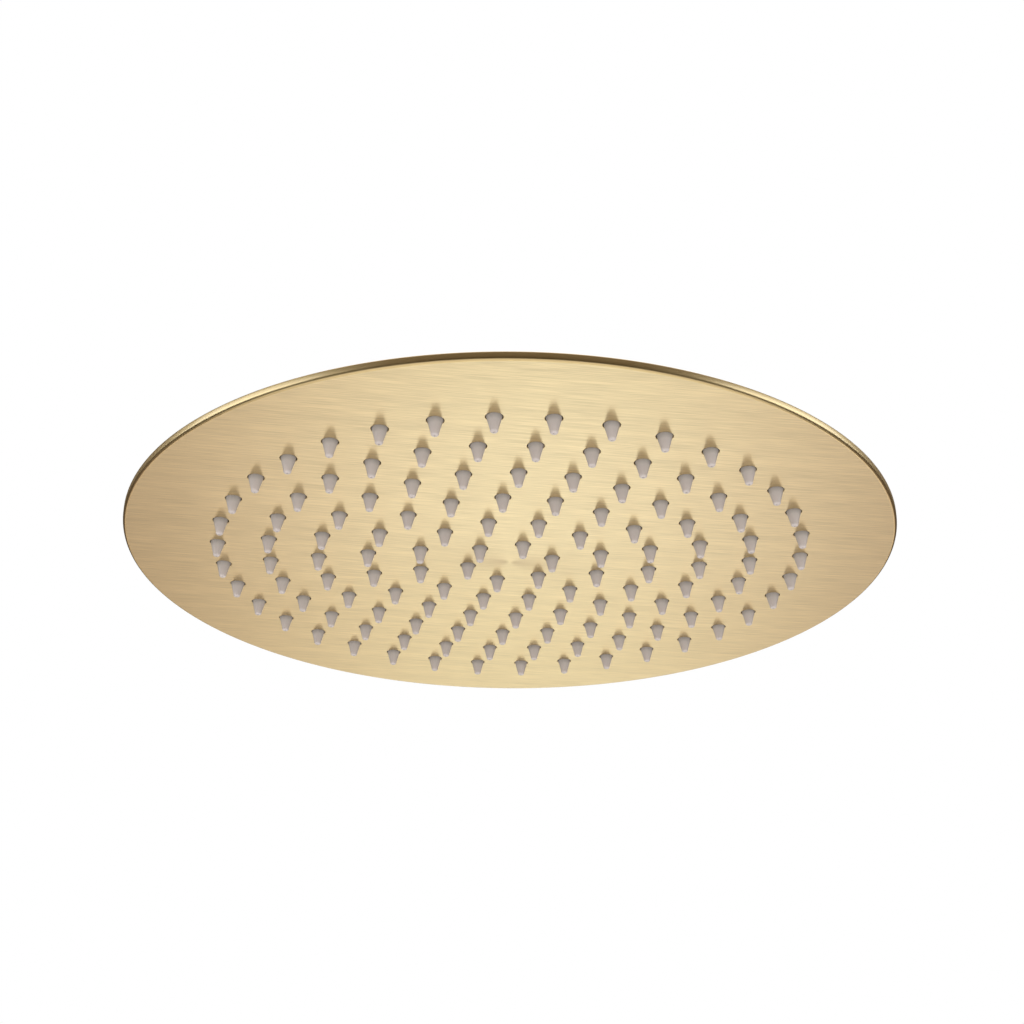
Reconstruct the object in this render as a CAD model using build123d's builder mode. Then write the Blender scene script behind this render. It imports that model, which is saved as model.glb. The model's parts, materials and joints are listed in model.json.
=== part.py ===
from build123d import *
import os
from math import cos, radians, sin, sqrt

os.makedirs("parts", exist_ok=True)

# Slim round overhead shower head, hung from its threaded inlet with the nozzles down.
# Sizes are in millimetres. The origin is the mouth of the inlet, and +Z points up the shower arm.

# Inlet: female G1/2, drawn as the plain bore of its thread crests
thread_bore_radius = 9.316
thread_depth = 11.0
inlet_radius = 13.25
inlet_floor = 2.5
inlet_flats = 24.0
inlet_flat_height = 8.0
edge_chamfer = 1.0

# Washer and filter, stacked on the floor of the inlet
washer_pocket_radius = 9.7
washer_side_gap = 0.3
washer_hole_radius = 6.0
washer_thickness = 2.0
screen_thickness = 0.4
pocket_spare = 0.1

# Ball and stem
ball_radius = 10.5
ball_cut = 7.0
stem_radius = 6.0
stem_showing = 4.4
waterway_radius = 4.0

# Seal in its groove round the ball
seal_height = 2.0
seal_depth = 1.6
seal_proud = 0.05
seal_fit = 0.1

# Socket, neck and collar nut
ball_clearance = 0.4
socket_outlet_radius = 6.5
socket_floor = 2.0
neck_wall = 1.9
neck_above_ball = 0.4
collar_seat_angle = 60.0
collar_throat_radius = 8.8
collar_rise = 7.0
collar_skirt = 8.0
collar_wall = 3.1
collar_flats = 29.0
collar_flat_height = 6.0
thread_gap = 0.15
collar_shoulder_gap = 0.3

# Head: two pressed sheets joined at the rim
head_radius = 125.0
rim_height = 2.6
rim_round_lower = 1.0
rim_round_upper = 0.4
sheet = 0.8
face_sag = 1.2
back_rise = 7.0
back_border = 10.0
neck_foot_round = 1.2
rim_joint_gap = 0.05

# Nozzles: rings of six, twelve, eighteen and so on, all starting at one angle
ring_count = 6
ring_step = 6
first_ring_radius = 14.2
ring_pitch = 16.2
pattern_angle = -75.7
nozzle_radius = 2.2
nozzle_tip_radius = 1.15
nozzle_length = 4.9
nozzle_bore_radius = 0.5
nozzle_clearance = 0.45
mat_thickness = 1.0
mat_border = 6.0
mat_seat_gap = 0.25

# Heights that follow from the sizes above, from the inlet down to the face
pocket_depth = screen_thickness + washer_thickness + pocket_spare
pocket_floor_z = -thread_depth - pocket_depth
inlet_underside_z = pocket_floor_z - inlet_floor
ball_z = inlet_underside_z - stem_showing - collar_rise
socket_radius = ball_radius + ball_clearance
socket_outlet_z = ball_z - sqrt(socket_radius**2 - socket_outlet_radius**2)
neck_underside_z = socket_outlet_z - socket_floor
neck_radius = socket_radius + neck_wall
neck_top_z = ball_z + neck_above_ball
rim_top_z = neck_underside_z + sheet - back_rise
rim_underside_z = rim_top_z - rim_height
rim_inner_radius = head_radius - sheet
face_edge_radius = head_radius - rim_round_lower
face_apex_z = rim_underside_z - face_sag
hole_radius = nozzle_radius + nozzle_clearance


def face_z(radius):
    """Height of the outside of the slightly conical face at a radius."""
    return face_apex_z + face_sag * radius / face_edge_radius


def ring_radius(ring):
    """Radius of a ring of nozzles, counted from 0 at the middle."""
    return first_ring_radius + ring_pitch * ring


def ring_locations(ring):
    """Places of the nozzles of one ring."""
    return PolarLocations(ring_radius(ring), ring_step * (ring + 1), start_angle=pattern_angle)


# Face plate: pressed pan with a turned-up rim, punched for the nozzles
with BuildPart() as face_plate:
    with BuildSketch(Plane.XZ):
        with BuildLine():
            Line((0, face_apex_z), (face_edge_radius, rim_underside_z))
            CenterArc((face_edge_radius, rim_underside_z + rim_round_lower), rim_round_lower, 270, 90)
            Line(
                (head_radius, rim_underside_z + rim_round_lower),
                (head_radius, rim_top_z - rim_round_upper),
            )
            CenterArc((head_radius - rim_round_upper, rim_top_z - rim_round_upper), rim_round_upper, 0, 90)
            Polyline(
                (head_radius - rim_round_upper, rim_top_z),
                (rim_inner_radius, rim_top_z),
                (rim_inner_radius, rim_underside_z + sheet),
                (0, face_apex_z + sheet),
                (0, face_apex_z),
            )
        make_face()
    revolve(axis=Axis.Z)
    with BuildSketch(Plane.XY.offset(face_apex_z)):
        for ring in range(ring_count):
            with ring_locations(ring):
                Circle(hole_radius)
    extrude(amount=face_sag + sheet, mode=Mode.SUBTRACT)
face_plate.part.label = "face_plate"
export_step(face_plate.part, "parts/face_plate.step")

# Nozzle mat: a web on the inside of the face, with a tapered nozzle through each hole
web_underside = sheet + mat_seat_gap
web_middle = web_underside + mat_thickness / 2
mat_radius = ring_radius(ring_count - 1) + nozzle_radius + mat_border
nozzle_slope = (nozzle_radius - nozzle_tip_radius) / nozzle_length
nozzle_top_radius = nozzle_radius + nozzle_slope * web_middle
with BuildPart() as nozzle_mat:
    with BuildSketch(Plane.XZ):
        Polygon(
            (0, face_z(0) + web_underside),
            (mat_radius, face_z(mat_radius) + web_underside),
            (mat_radius, face_z(mat_radius) + web_underside + mat_thickness),
            (0, face_z(0) + web_underside + mat_thickness),
            align=None,
        )
    revolve(axis=Axis.Z)
    for ring in range(ring_count):
        tip_z = face_z(ring_radius(ring)) - nozzle_length
        with Locations((0, 0, tip_z)):
            with ring_locations(ring):
                Cone(
                    nozzle_tip_radius,
                    nozzle_top_radius,
                    nozzle_length + web_middle,
                    align=(Align.CENTER, Align.CENTER, Align.MIN),
                )
    with BuildSketch(Plane.XY.offset(face_apex_z - nozzle_length)):
        for ring in range(ring_count):
            with ring_locations(ring):
                Circle(nozzle_bore_radius)
    extrude(amount=nozzle_length + face_sag + web_underside + mat_thickness, mode=Mode.SUBTRACT)
nozzle_mat.part.label = "nozzle_mat"
export_step(nozzle_mat.part, "parts/nozzle_mat.step")

# Back plate: top pressing that rises to the brazed neck, whose inside is the ball's socket
back_radius = rim_inner_radius - rim_joint_gap
border_radius = back_radius - back_border
neck_foot_z = rim_top_z + back_rise
with BuildPart() as back_plate:
    with BuildSketch(Plane.XZ):
        with BuildLine():
            Polyline(
                (socket_outlet_radius, socket_outlet_z),
                (socket_outlet_radius, neck_underside_z),
                (neck_radius, neck_underside_z),
                (border_radius, rim_top_z - sheet),
                (back_radius, rim_top_z - sheet),
                (back_radius, rim_top_z),
                (border_radius, rim_top_z),
                (neck_radius + neck_foot_round, neck_foot_z),
            )
            CenterArc((neck_radius + neck_foot_round, neck_foot_z + neck_foot_round), neck_foot_round, 180, 90)
            Polyline(
                (neck_radius, neck_foot_z + neck_foot_round),
                (neck_radius, neck_top_z),
                (socket_radius, neck_top_z),
                (socket_radius, ball_z),
            )
            RadiusArc((socket_radius, ball_z), (socket_outlet_radius, socket_outlet_z), socket_radius)
        make_face()
    revolve(axis=Axis.Z)
back_plate.part.label = "back_plate"
export_step(back_plate.part, "parts/back_plate.step")

# Collar nut: screws on the neck, and its cone keeps the ball down in the socket
collar_bore_radius = neck_radius + thread_gap
collar_radius = collar_bore_radius + collar_wall
collar_top_z = ball_z + collar_rise
collar_shoulder_z = neck_top_z + collar_shoulder_gap


def seat_radius(height):
    """Radius of the conical seat, tangent to the socket's sphere, at a height above the ball's centre."""
    return (socket_radius - height * cos(radians(collar_seat_angle))) / sin(radians(collar_seat_angle))


throat_height = (socket_radius - collar_throat_radius * sin(radians(collar_seat_angle))) / cos(
    radians(collar_seat_angle)
)
with BuildPart() as collar_nut:
    with BuildSketch(Plane.XZ):
        Polygon(
            (collar_bore_radius, ball_z - collar_skirt),
            (collar_radius, ball_z - collar_skirt),
            (collar_radius, collar_top_z - edge_chamfer),
            (collar_radius - edge_chamfer, collar_top_z),
            (collar_throat_radius, collar_top_z),
            (collar_throat_radius, ball_z + throat_height),
            (seat_radius(collar_shoulder_z - ball_z), collar_shoulder_z),
            (collar_bore_radius, collar_shoulder_z),
            align=None,
        )
    revolve(axis=Axis.Z)
    with BuildSketch(Plane.XY.offset(ball_z - collar_skirt)):
        Circle(collar_radius)
        Rectangle(2 * collar_radius, collar_flats, mode=Mode.SUBTRACT)
    extrude(amount=collar_flat_height, mode=Mode.SUBTRACT)
collar_nut.part.label = "collar_nut"
export_step(collar_nut.part, "parts/collar_nut.step")

# Swivel ball: turned in one piece with its stem and the threaded inlet
groove_half = seal_height / 2 + seal_fit
groove_radius = ball_radius + seal_proud - seal_depth - seal_fit
groove_edge_radius = sqrt(ball_radius**2 - groove_half**2)
ball_cut_radius = sqrt(ball_radius**2 - ball_cut**2)
stem_foot_z = ball_z + sqrt(ball_radius**2 - stem_radius**2)
with BuildPart() as swivel_ball:
    with BuildSketch(Plane.XZ):
        with BuildLine():
            Line((waterway_radius, ball_z - ball_cut), (ball_cut_radius, ball_z - ball_cut))
            RadiusArc(
                (ball_cut_radius, ball_z - ball_cut),
                (groove_edge_radius, ball_z - groove_half),
                -ball_radius,
            )
            Polyline(
                (groove_edge_radius, ball_z - groove_half),
                (groove_radius, ball_z - groove_half),
                (groove_radius, ball_z + groove_half),
                (groove_edge_radius, ball_z + groove_half),
            )
            RadiusArc((groove_edge_radius, ball_z + groove_half), (stem_radius, stem_foot_z), -ball_radius)
            Polyline(
                (stem_radius, stem_foot_z),
                (stem_radius, inlet_underside_z),
                (inlet_radius - edge_chamfer, inlet_underside_z),
                (inlet_radius, inlet_underside_z + edge_chamfer),
                (inlet_radius, 0),
                (thread_bore_radius, 0),
                (thread_bore_radius, -thread_depth),
                (washer_pocket_radius, -thread_depth),
                (washer_pocket_radius, pocket_floor_z),
                (waterway_radius, pocket_floor_z),
                (waterway_radius, ball_z - ball_cut),
            )
        make_face()
    revolve(axis=Axis.Z)
    with BuildSketch():
        Circle(inlet_radius)
        Rectangle(2 * inlet_radius, inlet_flats, mode=Mode.SUBTRACT)
    extrude(amount=-inlet_flat_height, mode=Mode.SUBTRACT)
swivel_ball.part.label = "swivel_ball"
export_step(swivel_ball.part, "parts/swivel_ball.step")

# Ball seal: rubber band in the ball's groove
with BuildPart() as ball_seal:
    with BuildSketch(Plane.XY.offset(ball_z)):
        Circle(ball_radius + seal_proud)
        Circle(ball_radius + seal_proud - seal_depth, mode=Mode.SUBTRACT)
    extrude(amount=seal_height / 2, both=True)
ball_seal.part.label = "ball_seal"
export_step(ball_seal.part, "parts/ball_seal.step")

# Filter screen: thin disc on the floor of the inlet
with BuildPart() as filter_screen:
    with BuildSketch(Plane.XY.offset(pocket_floor_z)):
        Circle(washer_pocket_radius - washer_side_gap)
    extrude(amount=screen_thickness)
filter_screen.part.label = "filter_screen"
export_step(filter_screen.part, "parts/filter_screen.step")

# Inlet washer: flat ring that holds the screen down
with BuildPart() as inlet_washer:
    with BuildSketch(Plane.XY.offset(pocket_floor_z + screen_thickness)):
        Circle(washer_pocket_radius - washer_side_gap)
        Circle(washer_hole_radius, mode=Mode.SUBTRACT)
    extrude(amount=washer_thickness)
inlet_washer.part.label = "inlet_washer"
export_step(inlet_washer.part, "parts/inlet_washer.step")
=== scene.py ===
import json
import math

import bmesh
import bpy
from mathutils import Matrix, Vector


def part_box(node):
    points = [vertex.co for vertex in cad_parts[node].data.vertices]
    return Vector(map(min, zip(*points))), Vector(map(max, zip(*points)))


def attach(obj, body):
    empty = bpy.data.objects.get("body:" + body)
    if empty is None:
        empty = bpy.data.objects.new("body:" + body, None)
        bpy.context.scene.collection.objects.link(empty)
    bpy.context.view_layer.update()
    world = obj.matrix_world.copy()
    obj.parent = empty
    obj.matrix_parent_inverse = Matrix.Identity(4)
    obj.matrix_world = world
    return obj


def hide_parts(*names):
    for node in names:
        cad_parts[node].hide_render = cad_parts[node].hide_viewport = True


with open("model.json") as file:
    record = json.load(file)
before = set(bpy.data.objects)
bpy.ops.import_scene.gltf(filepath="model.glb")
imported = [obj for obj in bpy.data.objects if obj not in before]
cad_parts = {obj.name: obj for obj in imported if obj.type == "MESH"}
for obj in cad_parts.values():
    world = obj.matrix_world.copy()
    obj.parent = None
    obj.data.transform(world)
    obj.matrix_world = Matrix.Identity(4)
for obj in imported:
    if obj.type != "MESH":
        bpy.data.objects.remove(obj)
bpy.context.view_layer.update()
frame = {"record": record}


# Face plate: the pan that the nozzles show through, pressed from thin stainless sheet with its rim
# turned up and six rings of holes punched in it. The face is brushed in straight lines, the rim is
# polished round, and both are coated gold under a clear lacquer.
face_low, face_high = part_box("face_plate")
head_radius = (face_high.x - face_low.x) / 2
face_apex = face_low.z
rim_top = face_high.z
rim_height = 0.0026
rim_round_lower = 0.001
rim_round_upper = 0.0004
rim_segments = 288
sheet = 0.0008
rim_underside = rim_top - rim_height
rim_inside = head_radius - sheet
face_edge = head_radius - rim_round_lower
cone_rise = rim_underside - face_apex
cone_slope = cone_rise / face_edge
middle_radius = 0.0108
middle_segments = 72
hole_radius = 0.00252
hole_edge_round = 0.00018
hole_segments = 26
ring_sizes = {
    "Ring Count": 6,
    "Ring Step": 6,
    "First Ring Radius": 0.0142,
    "Ring Pitch": 0.0162,
    "Pattern Angle": math.radians(-75.7),
}
gold_dark = (0.66, 0.485, 0.225)
gold_light = (0.84, 0.625, 0.305)
gold_painted_shade = (0.52, 0.35, 0.145)
brushing_turn = math.radians(4.7)
hair_scale = (70, 2400, 1)
band_scale = (5, 170, 1)
hair_share = 0.75
hair_contrast = (0.39, 0.61)
hair_roughness = (0.36, 0.31)
hair_relief = (0.08, 0.00005)
wedge_shade_start = 0.0015
wedge_shade_fade = 0.011
wedge_shade_narrowing = 2.6
wedge_shade_strength = 1.1
turned_line_drift = 0.7
turned_line_share = 0.6
turned_contrast = (0.2, 0.8)
turned_tones = (0.33, 0.67)
turned_cloud_scale = 40.0
turned_gloss_spread = 0.05
rim_roughness = 0.36
rim_line_scale = 2500.0


def set_inputs(tree, node, inputs):
    """Sets each named input of a node, or links it to a socket."""
    for name, value in inputs.items():
        if isinstance(value, bpy.types.NodeSocket):
            tree.links.new(value, node.inputs[name])
        else:
            node.inputs[name].default_value = value


def add_node(tree, kind, inputs=None, **settings):
    """Adds a node with its properties and inputs."""
    node = tree.nodes.new(kind)
    for setting, value in settings.items():
        setattr(node, setting, value)
    set_inputs(tree, node, inputs or {})
    return node


def maths(tree, operation, first, second=0.0):
    """Result of a Math node on two numbers or sockets."""
    return add_node(tree, "ShaderNodeMath", {0: first, 1: second}, operation=operation).outputs[0]


def product(tree, first, *others):
    """Product of several numbers or sockets."""
    for other in others:
        first = maths(tree, "MULTIPLY", first, other)
    return first


def from_axis(tree, place):
    """A place brought down to the level of the origin, and its distance from the Z axis."""
    level = {0: place, 1: (1, 1, 0)}
    flat = add_node(tree, "ShaderNodeVectorMath", level, operation="MULTIPLY").outputs[0]
    reach = add_node(tree, "ShaderNodeVectorMath", {0: flat}, operation="LENGTH")
    return flat, reach.outputs["Value"]


def split(tree, vector):
    """X, Y and Z sockets of a vector."""
    return add_node(tree, "ShaderNodeSeparateXYZ", {0: vector}).outputs


def vector_of(tree, **axes):
    """Vector socket with the given X, Y and Z."""
    return add_node(tree, "ShaderNodeCombineXYZ", axes).outputs[0]


def new_tree(name, values):
    """Geometry node tree with a mesh output and an input for each named value, and its inputs."""
    kinds = {int: "Int", float: "Float", bpy.types.Material: "Material"}
    tree = bpy.data.node_groups.new(name, "GeometryNodeTree")
    tree.interface.new_socket("Mesh", in_out="OUTPUT", socket_type="NodeSocketGeometry")
    for label, value in values.items():
        socket_type = "NodeSocket" + kinds[type(value)]
        tree.interface.new_socket(label, in_out="INPUT", socket_type=socket_type)
    return tree, tree.nodes.new("NodeGroupInput").outputs


def end_tree(tree, geometry):
    """Links a geometry socket to the tree's output."""
    add_node(tree, "NodeGroupOutput", {"Mesh": geometry})


def joined(tree, *parts):
    """Join of several geometry sockets."""
    join = tree.nodes.new("GeometryNodeJoinGeometry")
    for part in parts:
        tree.links.new(part, join.inputs[0])
    return join.outputs[0]


def circle_curve(tree, segments, radius):
    """Curve socket of a circle round Z."""
    sizes = {"Resolution": segments, "Radius": radius}
    return add_node(tree, "GeometryNodeCurvePrimitiveCircle", sizes).outputs["Curve"]


def filled(tree, *curves):
    """Flat sheet inside the first curve, left open inside the others."""
    outlines = {"Curve": joined(tree, *curves)}
    return add_node(tree, "GeometryNodeFillCurve", outlines, mode="TRIANGLES").outputs[0]


def lifted(tree, geometry, height):
    """Shape moved up by a height."""
    move = {"Geometry": geometry, "Translation": vector_of(tree, Z=height)}
    return add_node(tree, "GeometryNodeTransform", move).outputs[0]


def bent(tree, geometry, height):
    """Shape with each of its points moved up by a height of its own."""
    move = {"Geometry": geometry, "Offset": vector_of(tree, Z=height)}
    return add_node(tree, "GeometryNodeSetPosition", move).outputs[0]


def realized(tree, geometry):
    """Instances made into plain geometry."""
    return add_node(tree, "GeometryNodeRealizeInstances", {0: geometry}).outputs[0]


def copied_to(tree, points, instance):
    """Realized copies of an instance on points."""
    copies = {"Points": points, "Instance": instance}
    return realized(tree, add_node(tree, "GeometryNodeInstanceOnPoints", copies).outputs[0])


def in_material(tree, geometry, material, **where):
    """Shape with a material on all of it, or on a selection of its faces."""
    finish = {"Geometry": geometry, "Material": material, **where}
    return add_node(tree, "GeometryNodeSetMaterial", finish).outputs[0]


def object_shape(tree, source):
    """Mesh of another object, as a geometry socket."""
    return add_node(tree, "GeometryNodeObjectInfo", {"Object": source}).outputs["Geometry"]


def point_place(tree):
    """Field of each point's place."""
    return tree.nodes.new("GeometryNodeInputPosition").outputs[0]


def point_reach(tree):
    """Field of each point's distance from the Z axis."""
    return from_axis(tree, point_place(tree))[1]


def follow_cone(tree, geometry, inputs):
    """Moves a flat shape up on to the shallow cone of the face, which is level outside its edge."""
    share = maths(tree, "DIVIDE", point_reach(tree), inputs["Face Edge Radius"])
    rise = product(tree, maths(tree, "MINIMUM", share, 1.0), inputs["Cone Rise"])
    return bent(tree, geometry, maths(tree, "ADD", rise, inputs["Apex Height"]))


def new_mesh(name, points, faces):
    """Mesh of points and the faces between them."""
    mesh = bpy.data.meshes.new(name)
    mesh.from_pydata(points, [], faces)
    return mesh


def wrapped_faces(rows, segments):
    """Faces between rows of points that each run once round."""
    faces = []
    for row in range(rows - 1):
        for step in range(segments):
            near = row * segments + step
            after = row * segments + (step + 1) % segments
            faces.append((near, after, after + segments, near + segments))
    return faces


def turned_mesh(name, profile, segments):
    """Mesh of a run of (radius, height) points turned once round Z."""
    points = []
    for radius, height in profile:
        for step in range(segments):
            angle = 2 * math.pi * step / segments
            points.append((radius * math.cos(angle), radius * math.sin(angle), height))
    return new_mesh(name, points, wrapped_faces(len(profile), segments))


def template(name, profile, segments):
    """Turned shape that stays out of the scene, for a node tree to use."""
    return bpy.data.objects.new(name, turned_mesh(name, profile, segments))


def arc(centre, radius, start, end, steps):
    """Points of an arc in a profile, from one angle to another in degrees."""
    points = []
    for step in range(steps + 1):
        angle = math.radians(start + (end - start) * step / steps)
        points.append((centre[0] + radius * math.cos(angle), centre[1] + radius * math.sin(angle)))
    return points


def new_piece(name, mesh):
    """Object of a mesh, linked to the scene."""
    piece = bpy.data.objects.new(name, mesh)
    bpy.context.scene.collection.objects.link(piece)
    return piece


def apply_modifiers(piece):
    """Makes the result of a piece's modifiers its plain mesh."""
    evaluated = piece.evaluated_get(bpy.context.evaluated_depsgraph_get())
    piece.data = bpy.data.meshes.new_from_object(evaluated)
    piece.modifiers.clear()


def grown_piece(name, tree, values):
    """Runs a geometry node tree with its inputs set, and keeps the result as a plain mesh."""
    piece = new_piece(name, bpy.data.meshes.new(name))
    modifier = piece.modifiers.new(name, "NODES")
    modifier.node_group = tree
    for socket in tree.interface.items_tree:
        if socket.in_out == "INPUT":
            modifier[socket.identifier] = values[socket.name]
    apply_modifiers(piece)
    return piece


def close_shell(mesh, weld=2e-6):
    """Merges doubles and turns the faces of a closed shell outwards."""
    shell = bmesh.new()
    shell.from_mesh(mesh)
    bmesh.ops.remove_doubles(shell, verts=shell.verts, dist=weld)
    bmesh.ops.recalc_face_normals(shell, faces=shell.faces)
    shell.to_mesh(mesh)
    shell.free()


def smooth_shading(mesh, crease):
    """Smooth shading with edges sharper than an angle in degrees kept crisp."""
    mesh.shade_smooth()
    mesh.set_sharp_from_angle(angle=math.radians(crease))


def new_material(name):
    """Material with a Principled shader, its node tree and the shader node."""
    material = bpy.data.materials.new(name)
    material.use_nodes = True
    return material, material.node_tree, material.node_tree.nodes["Principled BSDF"]


def object_place(tree):
    """Object coordinates in a material."""
    return tree.nodes.new("ShaderNodeTexCoord").outputs["Object"]


def noise(tree, vector, scale=1.0, detail=2.0, roughness=0.5):
    """Grey value of a noise texture on a vector."""
    inputs = {"Vector": vector, "Scale": scale, "Detail": detail, "Roughness": roughness}
    return add_node(tree, "ShaderNodeTexNoise", inputs).outputs["Fac"]


def lines_of(tree, vector):
    """Grey value of the marks that a tool leaves, on a vector that is drawn out along them."""
    return noise(tree, vector, detail=3.0, roughness=0.6)


def remap(tree, value, low, high, new_low, new_high):
    """Value moved from one range to another, held inside it."""
    ranges = {"From Min": low, "From Max": high, "To Min": new_low, "To Max": new_high}
    return add_node(tree, "ShaderNodeMapRange", {"Value": value, **ranges}).outputs["Result"]


def spread(tree, value, new_low=0.0, new_high=1.0):
    """The middle of a noise texture's values, spread over a new range."""
    return remap(tree, value, 0.3, 0.7, new_low, new_high)


def blended(tree, first, second, share):
    """Sum of two grey values, with the first one's share of it."""
    return maths(tree, "ADD", product(tree, first, share), product(tree, second, 1 - share))


def two_colours(tree, value, dark, light):
    """Mix of two colours by a grey value. The first may be a socket."""
    first = dark if isinstance(dark, bpy.types.NodeSocket) else (*dark, 1)
    mix = {"Factor": value, 6: first, 7: (*light, 1)}
    return add_node(tree, "ShaderNodeMix", mix, data_type="RGBA").outputs[2]


def raised(tree, height, strength, distance):
    """Normal of a surface with a grey value as its relief."""
    relief = {"Height": height, "Strength": strength, "Distance": distance}
    return add_node(tree, "ShaderNodeBump", relief).outputs[0]


def direction(tree, vector):
    """X, Y and Z sockets of a vector's direction."""
    unit = add_node(tree, "ShaderNodeVectorMath", {0: vector}, operation="NORMALIZE")
    return split(tree, unit.outputs[0])


def brushed_face_gold():
    """Gold coating over straight brushing: long hairlines in colour, gloss and depth.

    Painted shade: darker wedges run out from the middle to both sides along the brushing, in place
    of the dark wedges that the face's reflection shows there.
    """
    material, tree, shader = new_material("brushed_face_gold")
    turn = {"Vector": object_place(tree), "Angle": -brushing_turn}
    turned = add_node(tree, "ShaderNodeVectorRotate", turn).outputs[0]
    hairs = add_node(tree, "ShaderNodeMapping", {"Vector": turned, "Scale": hair_scale})
    bands = add_node(tree, "ShaderNodeMapping", {"Vector": turned, "Scale": band_scale})
    hairline = lines_of(tree, hairs.outputs[0])
    band = lines_of(tree, bands.outputs[0])
    marks = blended(tree, hairline, band, hair_share)
    tone = remap(tree, marks, *hair_contrast, 0.0, 1.0)
    flat, reach = from_axis(tree, turned)
    # Painted shade: the base colour darkens in wedges either side of the middle, standing in for
    # the dark wedges of the face's reflection.
    sideways = maths(tree, "ABSOLUTE", direction(tree, flat)["X"])
    wedge_shade = product(
        tree,
        maths(tree, "POWER", sideways, wedge_shade_narrowing),
        maths(tree, "EXPONENT", maths(tree, "DIVIDE", reach, -wedge_shade_fade)),
        remap(tree, reach, 0.0, wedge_shade_start, 0.0, wedge_shade_strength),
    )
    gold = two_colours(tree, tone, gold_dark, gold_light)
    tangent = add_node(tree, "ShaderNodeTangent", direction_type="UV_MAP", uv_map="brushing")
    finish = {
        "Base Color": two_colours(tree, wedge_shade, gold, gold_painted_shade),
        "Roughness": spread(tree, hairline, *hair_roughness),
        "Normal": raised(tree, hairline, *hair_relief),
        "Tangent": tangent.outputs[0],
        "Metallic": 1.0,
        "Anisotropic": 0.92,
        "Coat Weight": 1.0,
        "Coat Roughness": 0.3,
    }
    set_inputs(tree, shader, finish)
    return material


def turned_gold(name, roughness, line_scale):
    """Gold coating over turned or round-polished metal: fine rings about the Z axis."""
    material, tree, shader = new_material(name)
    place = object_place(tree)
    flat, reach = from_axis(tree, place)
    outward = direction(tree, flat)
    along = maths(tree, "ADD", reach, split(tree, place)["Z"])
    rings = vector_of(
        tree,
        X=product(tree, outward["X"], turned_line_drift),
        Y=product(tree, outward["Y"], turned_line_drift),
        Z=product(tree, along, line_scale),
    )
    line = lines_of(tree, rings)
    cloud = noise(tree, place, turned_cloud_scale)
    marks = blended(tree, line, cloud, turned_line_share)
    tone = remap(tree, marks, *turned_contrast, *turned_tones)
    dull = roughness + turned_gloss_spread
    glossy = roughness - turned_gloss_spread
    finish = {
        "Base Color": two_colours(tree, tone, gold_dark, gold_light),
        "Roughness": spread(tree, line, dull, glossy),
        "Metallic": 1.0,
        "Coat Weight": 0.4,
        "Coat Roughness": 0.12,
    }
    set_inputs(tree, shader, finish)
    return material


# Each ring holds one step of nozzles more than the last, so a nozzle's number tells its ring.
ring_tree, ring_inputs = new_tree("nozzle_rings", ring_sizes)
rounding = 0.001
ring_count = ring_inputs["Ring Count"]
ring_step = ring_inputs["Ring Step"]
half_step = maths(ring_tree, "DIVIDE", ring_step, 2.0)
place_number = ring_tree.nodes.new("GeometryNodeInputIndex").outputs[0]
steps_passed = maths(ring_tree, "DIVIDE", place_number, ring_step)
ring_square = maths(ring_tree, "ADD", product(ring_tree, steps_passed, 8.0), 1.0 + rounding)
ring_root = maths(ring_tree, "SQRT", ring_square)
ring_passed = maths(ring_tree, "DIVIDE", maths(ring_tree, "ADD", ring_root, 1.0), 2.0)
ring_number = maths(ring_tree, "FLOOR", ring_passed)
rings_inside = maths(ring_tree, "SUBTRACT", ring_number, 1.0)
places_before = product(ring_tree, ring_number, rings_inside, half_step)
place_in_ring = maths(ring_tree, "SUBTRACT", place_number, places_before)
places_in_ring = product(ring_tree, ring_number, ring_step)
share_of_ring = maths(ring_tree, "DIVIDE", place_in_ring, places_in_ring)
turn_in_ring = product(ring_tree, share_of_ring, 2 * math.pi)
nozzle_angle = maths(ring_tree, "ADD", turn_in_ring, ring_inputs["Pattern Angle"])
pitches_out = product(ring_tree, rings_inside, ring_inputs["Ring Pitch"])
nozzle_reach = maths(ring_tree, "ADD", pitches_out, ring_inputs["First Ring Radius"])
nozzle_place = vector_of(
    ring_tree,
    X=product(ring_tree, nozzle_reach, maths(ring_tree, "COSINE", nozzle_angle)),
    Y=product(ring_tree, nozzle_reach, maths(ring_tree, "SINE", nozzle_angle)),
)
ring_after = maths(ring_tree, "ADD", ring_count, 1.0)
nozzle_total = product(ring_tree, ring_count, ring_after, half_step)
nozzle_points = {"Count": nozzle_total, "Position": nozzle_place}
end_tree(ring_tree, add_node(ring_tree, "GeometryNodePoints", nozzle_points).outputs[0])


def nozzle_places(tree):
    """Points of the nozzles, from the tree of rings."""
    return add_node(tree, "GeometryNodeGroup", ring_sizes, node_tree=ring_tree).outputs[0]


hole_round_centre = (hole_radius + hole_edge_round, hole_edge_round)
hole_profile = arc(hole_round_centre, hole_edge_round, 270, 180, steps=3)
hole_profile.append((hole_radius, sheet))
hole_wall = template("hole_wall", hole_profile, hole_segments)
rim_profile = arc((face_edge, rim_round_lower), rim_round_lower, 270, 360, steps=8)
rim_round_centre = (head_radius - rim_round_upper, rim_height - rim_round_upper)
rim_profile += arc(rim_round_centre, rim_round_upper, 0, 90, steps=5)
rim_profile += [(rim_inside, rim_height), (rim_inside, sheet)]
rim_wall = template("rim_wall", rim_profile, rim_segments)

# The middle of the face is a disc of its own, so that the cone keeps its point.
middle_profile = [(middle_radius, 0.0), (middle_radius / 3, 0.0), (0.0, 0.0)]
middle_disc = template("middle_disc", middle_profile, middle_segments)

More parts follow.
